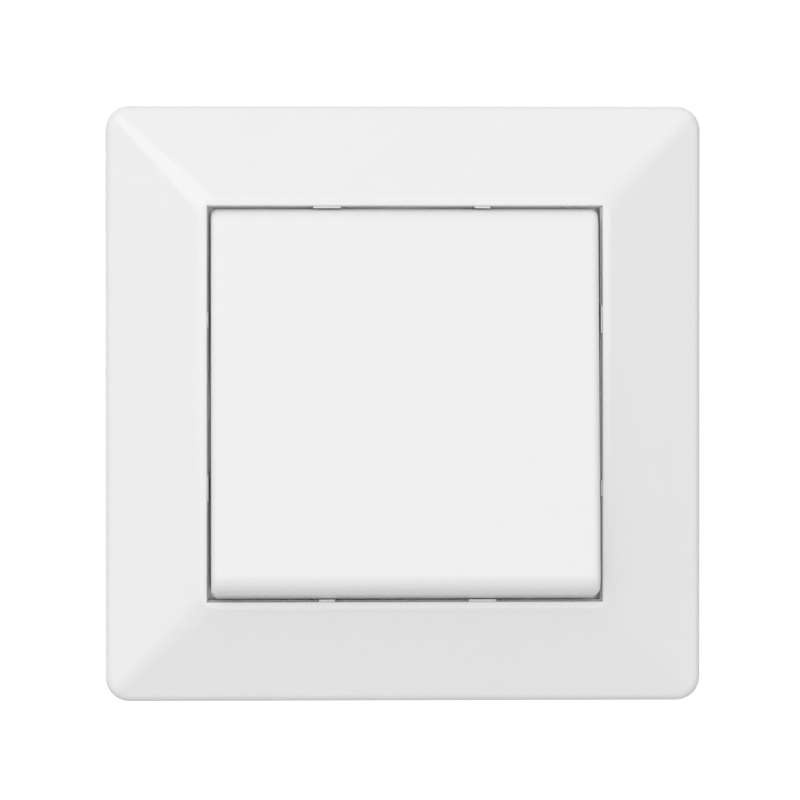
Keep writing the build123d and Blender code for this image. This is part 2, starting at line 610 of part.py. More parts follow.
def base_relief():
    """Shallow recesses: field and gauges on the back, screwdriver guides, and a bay behind each claw."""
    back_h = RELIEF - BASE_DEPTH
    field_x = BASE_WIDTH / 2 - FIELD_MARGIN
    field_y = WIRE_Y - WIRE_R - WIRE_FUNNEL - FIELD_MARGIN
    field = RectangleRounded(2 * field_x, 2 * field_y, FIELD_CORNER_R)
    relief = Pos(0, 0, back_h) * extrude(field, -RELIEF - CUT)
    gauge_x = CAGE_WIDTH / 2 + CAGE_CLEARANCE
    gauge = block(
        gauge_x, gauge_x + GAUGE_LENGTH, WIRE_Y - GAUGE_WIDTH / 2, WIRE_Y + GAUGE_WIDTH / 2,
        -BASE_DEPTH - CUT, back_h,
    )
    guide_half = TERMINAL_HEAD_R + ACCESS_CLEARANCE + GUIDE_MARGIN
    guide = block(
        -guide_half, guide_half, BASE_HEIGHT / 2 - RELIEF, BASE_HEIGHT / 2 + CUT,
        TERMINAL_SCREW_H - guide_half, TERMINAL_SCREW_H + guide_half,
    )
    bay_half = CLAW_WIDTH / 2 + BAY_MARGIN
    bay = block(
        BASE_WIDTH / 2 - RELIEF, BASE_WIDTH / 2 + CUT, CLAW_OFFSET - bay_half, CLAW_OFFSET + bay_half,
        -BASE_DEPTH - CUT, CUT,
    )
    for side in (0, 180):
        relief += Rot(0, 0, side) * (gauge + guide + bay)
    return relief


def base():
    """Insulating box with the contact cavity, terminal chambers, wire entries and screw pilots."""
    body = extrude(RectangleRounded(BASE_WIDTH, BASE_HEIGHT, BASE_CORNER_R), -BASE_DEPTH)
    body = fillet(body.faces().sort_by(Axis.Z)[0].edges(), BASE_BACK_ROUND)
    body -= slab(CAVITY_X, CAVITY_Y, FLOOR_H, CUT)
    body -= slab(CAGE_WIDTH / 2 + CAGE_CLEARANCE, BASE_HEIGHT / 2 - BASE_WALL, FLOOR_H, CUT)
    core_pitch = (BASE_WIDTH / 2 - BASE_WALL - CAVITY_X) / CORE_SLOTS
    for side in (0, 180):
        for place in range(CORE_SLOTS):
            x0 = CAVITY_X + BASE_WALL + place * core_pitch
            core = block(x0, x0 + core_pitch - BASE_WALL, -CAVITY_Y, CAVITY_Y, FLOOR_H, CUT)
            body -= Rot(0, 0, side) * core
    pilot_r = CHASSIS_SCREW_R + THREAD_CLEARANCE
    for x, y in chassis_places():
        body -= post(pilot_r, x, y, -CHASSIS_SCREW_DEPTH - BASE_WALL, CUT)

    tail_drop = BLADE_TAIL * math.sin(BLADE_TIP)
    stop_out = BLADE_TAIL * math.cos(BLADE_TIP) - STOP_CLEARANCE
    ledge_x = STRIP_WIDTH / 2 + CAGE_CLEARANCE
    for x0, x1 in ((-CAVITY_X, -ledge_x), (ledge_x, CAVITY_X)):
        body += block(
            x0, x1, stop_out - STOP_LEDGE, stop_out, FLOOR_H, BLADE_H - tail_drop - STOP_CLEARANCE
        )
    entry = post(WIRE_R, 0, WIRE_Y, -BASE_DEPTH - CUT, FLOOR_H + CUT)
    cone = Cone(WIRE_R + WIRE_FUNNEL, WIRE_R, WIRE_FUNNEL)
    funnel = Pos(0, WIRE_Y, -BASE_DEPTH + WIRE_FUNNEL / 2) * cone
    access = rod_y(
        TERMINAL_HEAD_R + ACCESS_CLEARANCE, 0, CAGE_OUT, BASE_HEIGHT / 2 + CUT, TERMINAL_SCREW_H
    )
    for side in (0, 180):
        body -= Rot(0, 0, side) * (entry + funnel + access)
    return body - base_relief()


def claw_head_room():
    """Room in the carrier for the right claw's screw head, open to the carrier's edge."""
    room_r = CLAW_HEAD_R + CLAW_HEAD_ROOM
    room_top_h = CARRIER_TOP_H + CUT
    room = post(room_r, CLAW_SCREW_X, CLAW_OFFSET, 0, room_top_h)
    return room + block(
        CLAW_SCREW_X, CARRIER_HALF + CUT, CLAW_OFFSET - room_r, CLAW_OFFSET + room_r, 0, room_top_h
    )


def clip_carrier():
    """Plate with a flange for the frame's hooks, bearing towers and stops for the actuator."""
    step = RectangleRounded(2 * CARRIER_STEP, 2 * CARRIER_STEP, CARRIER_CORNER_R)
    rim = RectangleRounded(2 * CARRIER_HALF, 2 * CARRIER_HALF, CARRIER_CORNER_R)
    body = Pos(0, 0, PLATE_THICK) * extrude(step, FLANGE_H - PLATE_THICK)
    body += Pos(0, 0, FLANGE_H) * extrude(rim, CARRIER_FLANGE)
    for side in (0, 180):
        x0, x1 = TOWER_X, TOWER_X + TOWER_WALL
        tower_top_h = PIVOT_H + TOWER_WRAP * (TRUNNION_R + BEARING_CLEARANCE)
        tower = block(x0, x1, -TOWER_WIDTH / 2, TOWER_WIDTH / 2, PLATE_THICK, tower_top_h)
        body += Rot(0, 0, side) * tower
    body -= rod_x(TRUNNION_R + BEARING_CLEARANCE, -CARRIER_HALF, CARRIER_HALF, 0, PIVOT_H)
    body -= slab(CARRIER_WINDOW_X, CARRIER_WINDOW_Y, 0, CARRIER_TOP_H + CUT)

    stop_out = BEAM_WIDTH / 2 - STOP_CLEARANCE
    stop_h = PIVOT_H - BEAM_DROP * math.cos(TILT) - BEAM_WIDTH / 2 * math.sin(TILT) - STOP_CLEARANCE
    for side_x in (-1, 1):
        for side_y in (-1, 1):
            x0, x1 = sorted((side_x * CARRIER_WINDOW_X, side_x * BEAM_LENGTH / 2))
            y0, y1 = sorted((side_y * (stop_out - STOP_WIDTH), side_y * stop_out))
            body += block(x0, x1, y0, y1, FLANGE_H, stop_h)

    half_slot = BOX_SCREW_SPACING / 2
    for side in range(4):
        body -= Rot(0, 0, 90 * side) * post(BOX_HEAD_R, half_slot, 0, 0, CARRIER_TOP_H + CUT)
    room = claw_head_room()
    body -= room + turned(room)
    for x, y in chassis_places():
        body -= post(CHASSIS_SCREW_R + SCREW_PLAY / 2, x, y, 0, CARRIER_TOP_H + CUT)
    return body


def mounting_plate():
    """Steel plate with box-screw slots, tapped claw-screw holes and bent lugs for the claw pins."""
    half = PLATE_SIZE / 2
    plate = slab(half, half, 0, PLATE_THICK)
    plate = chamfer(plate.edges().filter_by(Axis.Z), PLATE_CORNER)
    window = slab(BASE_WIDTH / 2 - PLATE_LEDGE, BASE_HEIGHT / 2 - PLATE_LEDGE, -CUT, PLATE_THICK + CUT)
    plate -= chamfer(window.edges().filter_by(Axis.Z), WINDOW_CORNER)
    slot = extrude(SlotOverall(SLOT_LENGTH, SLOT_WIDTH), PLATE_THICK + 2 * CUT)
    for side in range(4):
        plate -= Rot(0, 0, 90 * side) * Pos(BOX_SCREW_SPACING / 2, 0, -CUT) * slot
    for x, y in chassis_places():
        plate -= post(CHASSIS_SCREW_R + SCREW_PLAY, x, y, -CUT, PLATE_THICK + CUT)

    lugs = None
    for y0 in (CLAW_OFFSET - LUG_Y - PLATE_THICK, CLAW_OFFSET + LUG_Y):
        y1 = y0 + PLATE_THICK
        lug = block(CLAW_PIN_X - LUG_R, CLAW_PIN_X + LUG_R, y0, y1, -CLAW_PIN_DEPTH, PLATE_THICK)
        lug += rod_y(LUG_R, CLAW_PIN_X, y0, y1, -CLAW_PIN_DEPTH)
        lug -= rod_y(CLAW_PIN_R + PIN_CLEARANCE, CLAW_PIN_X, y0 - CUT, y1 + CUT, -CLAW_PIN_DEPTH)
        lugs = lug if lugs is None else lugs + lug
    tapped = post(CLAW_SCREW_R + THREAD_CLEARANCE, CLAW_SCREW_X, CLAW_OFFSET, -CUT, PLATE_THICK + CUT)
    for side in (0, 180):
        plate += Rot(0, 0, side) * lugs
        plate -= Rot(0, 0, side) * tapped
    return plate


def claw():
    """Right claw: shelf under the screw, knuckle on the pin, and a leg with a toothed toe."""
    toe_h = CLAW_THICK / 2 - CLAW_DEPTH
    route = (
        (CLAW_SHELF_X, CLAW_SHELF_H), (CLAW_LEG_X, CLAW_SHELF_H), (CLAW_LEG_X, toe_h),
        (CLAW_LEG_X + CLAW_TOE, toe_h),
    )
    face = bent_strip(route, CLAW_THICK, CLAW_THICK)
    body = Pos(0, CLAW_OFFSET, 0) * extrude(Plane.XZ * face, CLAW_WIDTH / 2, both=True)
    y0 = CLAW_OFFSET - CLAW_WIDTH / 2
    y1 = CLAW_OFFSET + CLAW_WIDTH / 2
    body += rod_y(CLAW_KNUCKLE_R, CLAW_PIN_X, y0, y1, -CLAW_PIN_DEPTH)
    body -= rod_y(CLAW_PIN_R + PIN_CLEARANCE, CLAW_PIN_X, y0 - CUT, y1 + CUT, -CLAW_PIN_DEPTH)
    tip_x = CLAW_LEG_X + CLAW_TOE
    pitch = CLAW_WIDTH / CLAW_TEETH
    for place in range(1, CLAW_TEETH):
        notch = Polyline((-CLAW_TOOTH, CLAW_TOOTH), (0, 0), (CLAW_TOOTH, CLAW_TOOTH), close=True)
        gap = Pos(tip_x - CLAW_TOOTH, y0 + place * pitch, -CLAW_DEPTH - CUT) * Rot(0, 0, -90) * extrude(
            make_face(notch), CLAW_THICK + 2 * CUT
        )
        body -= gap
    return body


def claw_pin():
    """Headed pin through the right claw's knuckle and both lugs."""
    y0 = CLAW_OFFSET - LUG_Y - PLATE_THICK - PIN_HEAD
    y1 = CLAW_OFFSET + LUG_Y + PLATE_THICK
    pin = rod_y(CLAW_PIN_R, CLAW_PIN_X, y0, y1 + PIN_HEAD, -CLAW_PIN_DEPTH)
    for start in (y0, y1):
        pin += rod_y(PIN_HEAD_R, CLAW_PIN_X, start, start + PIN_HEAD, -CLAW_PIN_DEPTH)
    return pin


def claw_screw():
    """Screw that pushes the right claw's shelf, backed off so that the claw lies in."""
    tip_h = CLAW_SHELF_H + CLAW_THICK / 2 + TIP_GAP
    top_h = CLAW_HEAD_H + CLAW_HEAD
    shank = post(CLAW_SCREW_R, CLAW_SCREW_X, CLAW_OFFSET, tip_h, CLAW_HEAD_H)
    shank = chamfer(shank.edges().sort_by(Axis.Z)[0], CLAW_SCREW_R * POINT_SHARE)
    head = post(CLAW_HEAD_R, CLAW_SCREW_X, CLAW_OFFSET, CLAW_HEAD_H, top_h)
    head = fillet(head.edges().sort_by(Axis.Z)[-1], CLAW_HEAD / 3)
    head -= block(
        CLAW_SCREW_X - CLAW_HEAD_R, CLAW_SCREW_X + CLAW_HEAD_R, CLAW_OFFSET - SLOT_CUT / 2,
        CLAW_OFFSET + SLOT_CUT / 2, top_h - SLOT_CUT, top_h + CUT,
    )
    return shank + head


def main():
    """Build every piece, stand it up and write it."""
    pieces = {
        "cover_frame": cover_frame(),
        "rocker_cap": rocker_cap(),
        "clip_carrier": clip_carrier(),
        "mounting_plate": mounting_plate(),
        "base": base(),
        "actuator": actuator(),
        "plunger": plunger(),
        "plunger_spring": plunger_spring(),
        "contact_blade": contact_blade(),
        "moving_contact": moving_contact(),
        "fixed_contact": fixed_contact(),
        "line_strip": line_strip(),
        "load_strip": load_strip(),
        "line_clamp": terminal_clamp(),
        "load_clamp": turned(terminal_clamp()),
        "line_terminal_screw": terminal_screw(),
        "load_terminal_screw": turned(terminal_screw()),
        "chassis_screws": chassis_screws(),
        "right_claw": claw(),
        "left_claw": turned(claw()),
        "right_claw_pin": claw_pin(),
        "left_claw_pin": turned(claw_pin()),
        "right_claw_screw": claw_screw(),
        "left_claw_screw": turned(claw_screw()),
    }
    os.makedirs("parts", exist_ok=True)
    for name, piece in pieces.items():
        export_step(stand_up(piece), f"parts/{name}.step")


main()
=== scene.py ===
"""Looks of a rocker light switch: its finishes, threaded screws and wound spring, studio and camera."""

import json
import logging
import math
from dataclasses import dataclass
from enum import Enum
from functools import cache
from itertools import product
from typing import ClassVar

import bmesh
import bpy
from mathutils import Matrix, Vector


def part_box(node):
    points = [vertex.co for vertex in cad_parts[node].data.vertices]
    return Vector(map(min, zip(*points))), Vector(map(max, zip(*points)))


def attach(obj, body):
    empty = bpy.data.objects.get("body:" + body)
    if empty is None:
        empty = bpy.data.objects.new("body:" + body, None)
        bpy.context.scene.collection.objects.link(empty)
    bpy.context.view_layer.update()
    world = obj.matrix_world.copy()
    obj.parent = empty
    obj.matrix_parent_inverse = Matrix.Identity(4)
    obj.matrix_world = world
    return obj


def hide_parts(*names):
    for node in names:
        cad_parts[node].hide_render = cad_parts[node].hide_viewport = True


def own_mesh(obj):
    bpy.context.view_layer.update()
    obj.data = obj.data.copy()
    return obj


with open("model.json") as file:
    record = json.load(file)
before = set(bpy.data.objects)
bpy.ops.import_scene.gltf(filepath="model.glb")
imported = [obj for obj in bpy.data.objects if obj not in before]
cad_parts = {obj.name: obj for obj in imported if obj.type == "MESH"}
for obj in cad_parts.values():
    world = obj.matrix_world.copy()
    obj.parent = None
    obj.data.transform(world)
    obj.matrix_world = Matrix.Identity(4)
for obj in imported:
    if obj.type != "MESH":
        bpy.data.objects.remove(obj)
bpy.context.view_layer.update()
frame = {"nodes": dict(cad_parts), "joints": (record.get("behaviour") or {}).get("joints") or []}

MM = 0.001
SHARP_ANGLE = math.radians(35)
Colour = tuple[float, float, float]

logging.basicConfig(level=logging.INFO, format="%(message)s")
log = logging.getLogger("light_switch")


class Surface(Enum):
    """How a surface was made, which gives it its grain."""

    POLISHED_MOULD = "moulded in a polished tool"
    SPARKED_MOULD = "moulded in a spark-eroded tool"
    ROLLED_SHEET = "stamped from rolled sheet"
    TURNED_BAR = "turned or headed from bar"


class Drive(Enum):
    """Recess in a screw's head, by the number of the driver's blades."""

    SLOT = 1
    CROSS = 2


@dataclass(frozen=True)
class Grain:
    """Scales of one kind of surface.

    Attributes:
        cloud: size of the broad mottling.
        grit: size of the fine relief.
        relief: height of the fine relief.
        stretch: how much longer than wide the fine relief is along the piece's upright.
        shows: share of the fine relief's pattern in the mottling.
    """

    cloud: float
    grit: float
    relief: float
    stretch: float = 1.0
    shows: float = 0.0


GRAINS = {
    Surface.POLISHED_MOULD: Grain(cloud=18 * MM, grit=0.9 * MM, relief=0.0008 * MM),
    Surface.SPARKED_MOULD: Grain(cloud=12 * MM, grit=0.14 * MM, relief=0.010 * MM),
    Surface.ROLLED_SHEET: Grain(cloud=5 * MM, grit=0.28 * MM, relief=0.006 * MM, stretch=24.0, shows=0.6),
    Surface.TURNED_BAR: Grain(cloud=2 * MM, grit=0.08 * MM, relief=0.003 * MM, stretch=0.2, shows=0.4),
}


@dataclass(frozen=True)
class Finish:
    """One finish, as a procedural material.

    Attributes:
        name: name of the material.
        colour: its main colour.
        tint: second colour of the mottling.
        edge: lighter colour on the edges, a painted highlight along with wear.
        roughness: lowest and highest roughness.
        surface: how the surface was made.
        metallic: 1 for bare metal.
        edge_highlight_share: strength of the edge colour.
        edge_r: radius of the edges' rounding.
    """

    name: str
    colour: Colour
    tint: Colour
    edge: Colour
    roughness: tuple[float, float]
    surface: Surface
    metallic: float = 0.0
    edge_highlight_share: float = 0.35
    edge_r: float = 0.12 * MM

    CLOUD_DETAIL: ClassVar[float] = 4.0
    GRIT_DETAIL: ClassVar[float] = 3.0
    # Cosine of the turn from flat to rounded normal where the painted edge highlight and wear start, and
    # where they are full
    EDGE_STARTS: ClassVar[float] = 0.995
    EDGE_FULL: ClassVar[float] = 0.93

    @cache
    def material(self) -> bpy.types.Material:
        """Build the material once, and give it again when it is asked for.

        Returns:
            The material of this finish.
        """
        made = bpy.data.materials.new(self.name)
        made.use_nodes = True
        tree = made.node_tree
        shader = tree.nodes["Principled BSDF"]
        shader.inputs["Metallic"].default_value = self.metallic
        place = tree.nodes.new("ShaderNodeTexCoord").outputs["Object"]
        rounding = tree.nodes.new("ShaderNodeBevel")
        rounding.inputs["Radius"].default_value = self.edge_r
        rounded = rounding.outputs["Normal"]
        grain = GRAINS[self.surface]
        stretched = tree.nodes.new("ShaderNodeMapping")
        stretched.inputs["Scale"].default_value = (1.0, 1.0, 1.0 / grain.stretch)
        tree.links.new(place, stretched.inputs["Vector"])
        cloud = self._noise(tree, place, grain.cloud, self.CLOUD_DETAIL)
        grit = self._noise(tree, stretched.outputs["Vector"], grain.grit, self.GRIT_DETAIL)
        mottling = tree.nodes.new("ShaderNodeMix")
        mottling.inputs["Factor"].default_value = grain.shows
        tree.links.new(cloud, mottling.inputs["A"])
        tree.links.new(grit, mottling.inputs["B"])
        self._paint(tree, shader, mottling.outputs["Result"], rounded)
        self._relief(tree, shader, grit, rounded)
        return made

    def _noise(
        self, tree: bpy.types.NodeTree, place: bpy.types.NodeSocket, size: float, detail: float,
    ) -> bpy.types.NodeSocket:
        """Add a noise texture.

        Args:
            tree: node tree to add to.
            place: coordinates of the surface.
            size: size of its features in metres.
            detail: octaves of the noise.

        Returns:
            The strength of the noise.
        """
        node = tree.nodes.new("ShaderNodeTexNoise")
        node.inputs["Scale"].default_value = 1.0 / size
        node.inputs["Detail"].default_value = detail
        tree.links.new(place, node.inputs["Vector"])
        return node.outputs["Fac"]

    def _paint(
        self, tree: bpy.types.NodeTree, shader: bpy.types.Node, mottling: bpy.types.NodeSocket,
        rounded: bpy.types.NodeSocket,
    ) -> None:
        """Give the shader a mottled colour with lighter edges, a painted highlight along with wear, and an
        uneven roughness.

        Args:
            tree: node tree to add to.
            shader: the shader that is fed.
            mottling: strength of the mottling.
            rounded: normals with rounded edges.
        """
        mottle = tree.nodes.new("ShaderNodeMix")
        mottle.data_type = "RGBA"
        mottle.inputs["A"].default_value = (*self.colour, 1.0)
        mottle.inputs["B"].default_value = (*self.tint, 1.0)
        tree.links.new(mottling, mottle.inputs["Factor"])
        flat = tree.nodes.new("ShaderNodeNewGeometry")
        along = tree.nodes.new("ShaderNodeVectorMath")
        along.operation = "DOT_PRODUCT"
        tree.links.new(flat.outputs["Normal"], along.inputs[0])
        tree.links.new(rounded, along.inputs[1])
        # Edges, where the rounded normal turns away from the flat one, get the lighter edge colour: a painted
        # highlight along with wear.
        edge_highlight_mask = tree.nodes.new("ShaderNodeMapRange")
        edge_highlight_mask.inputs["From Min"].default_value = self.EDGE_STARTS
        edge_highlight_mask.inputs["From Max"].default_value = self.EDGE_FULL
        edge_highlight_mask.inputs["To Max"].default_value = self.edge_highlight_share
        tree.links.new(along.outputs["Value"], edge_highlight_mask.inputs["Value"])
        edge_highlighted = tree.nodes.new("ShaderNodeMix")
        edge_highlighted.data_type = "RGBA"
        edge_highlighted.inputs["B"].default_value = (*self.edge, 1.0)
        tree.links.new(edge_highlight_mask.outputs["Result"], edge_highlighted.inputs["Factor"])
        tree.links.new(mottle.outputs["Result"], edge_highlighted.inputs["A"])
        tree.links.new(edge_highlighted.outputs["Result"], shader.inputs["Base Color"])
        rough = tree.nodes.new("ShaderNodeMapRange")
        rough.inputs["To Min"].default_value, rough.inputs["To Max"].default_value = self.roughness
        tree.links.new(mottling, rough.inputs["Value"])
        tree.links.new(rough.outputs["Result"], shader.inputs["Roughness"])

    def _relief(
        self, tree: bpy.types.NodeTree, shader: bpy.types.Node, grit: bpy.types.NodeSocket,
        rounded: bpy.types.NodeSocket,
    ) -> None:
        """Give the shader the fine relief of the surface.

        Args:
            tree: node tree to add to.
            shader: the shader that is fed.
            grit: height of the relief.
            rounded: normals with rounded edges.
        """
        bump = tree.nodes.new("ShaderNodeBump")
        bump.inputs["Strength"].default_value = 1.0
        bump.inputs["Distance"].default_value = GRAINS[self.surface].relief
        tree.links.new(grit, bump.inputs["Height"])
        tree.links.new(rounded, bump.inputs["Normal"])
        tree.links.new(bump.outputs["Normal"], shader.inputs["Normal"])


# Each finish's edge colour is lighter than its colour: a painted highlight on the edges along with wear.
FRAME_WHITE = Finish(
    "gloss_white", colour=(0.895, 0.895, 0.895), tint=(0.905, 0.905, 0.905), edge=(0.915, 0.915, 0.915),
    roughness=(0.14, 0.19), surface=Surface.POLISHED_MOULD,
)
ROCKER_WHITE = Finish(
    "satin_white", colour=(0.895, 0.895, 0.895), tint=(0.905, 0.905, 0.905), edge=(0.915, 0.915, 0.915),
    roughness=(0.28, 0.34), surface=Surface.POLISHED_MOULD,
)
CARRIER_WHITE = Finish(
    "matt_white", colour=(0.80, 0.80, 0.78), tint=(0.83, 0.83, 0.81), edge=(0.86, 0.86, 0.84),
    roughness=(0.48, 0.58), surface=Surface.SPARKED_MOULD,
)
BASE_GREY = Finish(
    "matt_grey", colour=(0.66, 0.66, 0.64), tint=(0.71, 0.71, 0.69), edge=(0.76, 0.76, 0.74),
    roughness=(0.45, 0.58), surface=Surface.SPARKED_MOULD,
)
LEVER_NYLON = Finish(
    "natural_nylon", colour=(0.80, 0.77, 0.67), tint=(0.85, 0.82, 0.73), edge=(0.88, 0.86, 0.79),
    roughness=(0.36, 0.46), surface=Surface.SPARKED_MOULD,
)
ZINC_STEEL = Finish(
    "zinc_plate", colour=(0.46, 0.49, 0.55), tint=(0.84, 0.83, 0.79), edge=(0.86, 0.86, 0.85),
    roughness=(0.16, 0.50), surface=Surface.ROLLED_SHEET, metallic=1.0,
)
ZINC_SCREW = Finish(
    "zinc_screw", colour=(0.50, 0.53, 0.58), tint=(0.78, 0.77, 0.73), edge=(0.84, 0.84, 0.83),
    roughness=(0.18, 0.42), surface=Surface.TURNED_BAR, metallic=1.0,
)
SPRING_STEEL = Finish(
    "drawn_wire", colour=(0.42, 0.43, 0.45), tint=(0.52, 0.52, 0.53), edge=(0.64, 0.64, 0.65),
    roughness=(0.22, 0.34), surface=Surface.TURNED_BAR, metallic=1.0,
)
STRIP_BRASS = Finish(
    "rolled_brass", colour=(0.74, 0.54, 0.22), tint=(0.66, 0.46, 0.19), edge=(0.86, 0.70, 0.38),
    roughness=(0.24, 0.42), surface=Surface.ROLLED_SHEET, metallic=1.0,
)
BLADE_COPPER = Finish(
    "rolled_copper", colour=(0.78, 0.40, 0.25), tint=(0.66, 0.31, 0.19), edge=(0.90, 0.56, 0.40),
    roughness=(0.24, 0.42), surface=Surface.ROLLED_SHEET, metallic=1.0,
)
CONTACT_SILVER = Finish(
    "coined_silver", colour=(0.80, 0.79, 0.76), tint=(0.70, 0.69, 0.66), edge=(0.90, 0.90, 0.88),
    roughness=(0.22, 0.36), surface=Surface.TURNED_BAR, metallic=1.0,
)


def put(name: str, data: bpy.types.ID) -> bpy.types.Object:
    """Put an object in the scene.

    Args:
        name: name of the object.
        data: its mesh, light or camera.

    Returns:
        The object.
    """
    item = bpy.data.objects.new(name, data)
    bpy.context.scene.collection.objects.link(item)
    return item


def mesh_of(name: str, shape: bmesh.types.BMesh) -> bpy.types.Mesh:
    """Turn a shape into a mesh.

    Args:
        name: name of the mesh.
        shape: the shape, which is used up.

    Returns:
        The mesh.
    """
    mesh = bpy.data.meshes.new(name)
    shape.to_mesh(mesh)
    shape.free()
    return mesh


def heading(right: float, up: float) -> Vector:
    """Find a direction out from the switch.

    Args:
        right: degrees to the right of the switch's axis.
        up: degrees above it.

    Returns:
        The direction, of length 1.
    """
    turn, rise = math.radians(right), math.radians(up)
    return Vector((math.sin(turn) * math.cos(rise), -math.cos(turn) * math.cos(rise), math.sin(rise)))


def dress(node: str, finish: Finish) -> None:
    """Give a CAD node its finish.

    Args:
        node: name of the node.
        finish: the finish that it takes.
    """
    mesh = frame["nodes"][node].data
    mesh.materials.clear()
    mesh.materials.append(finish.material())
    log.info("%s: %s, %s", node, finish.name, finish.surface.value)


def ring(shape: bmesh.types.BMesh, radii: list[float], height: float) -> list[bmesh.types.BMVert]:
    """Add a level ring of points around the upright.

    Args:
        shape: mesh to add to.
        radii: radius of each point, counter-clockwise as seen from above.
        height: height of the ring.

    Returns:
        The points.
    """
    points = []
    for k, radius in enumerate(radii):
        angle = 2 * math.pi * k / len(radii)
        points.append(shape.verts.new((radius * math.cos(angle), radius * math.sin(angle), height)))
    return points


def skin(shape: bmesh.types.BMesh, rings: list[list[bmesh.types.BMVert]]) -> None:
    """Close rings of points into a capped tube.

    Args:
        shape: mesh to add to.
        rings: the rings in order, each counter-clockwise as seen from the tube's last end.
    """
    for below, above in zip(rings, rings[1:]):
        for k, point in enumerate(below):
            after = (k + 1) % len(below)
            shape.faces.new((point, below[after], above[after], above[k]))
    shape.faces.new(reversed(rings[0]))
    shape.faces.new(rings[-1])


def stand_for(node: str, body: str, name: str, shape: bmesh.types.BMesh, finish: Finish) -> bpy.types.Object:
    """Make a finished piece of a shape and let it stand for a CAD node.

    Args:
        node: the node that it replaces.
        body: the body that it rides.
        name: name of the piece.
        shape: its shape, which is used up.
        finish: its finish.

    Returns:
        The piece.
    """
    mesh = mesh_of(name, shape)
    mesh.shade_smooth()
    mesh.set_sharp_from_angle(angle=SHARP_ANGLE)
    mesh.materials.append(finish.material())
    piece = put(name, mesh)
    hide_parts(node)
    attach(piece, body)
    log.info("%s: %s, %s", name, finish.name, finish.surface.value)
    return piece


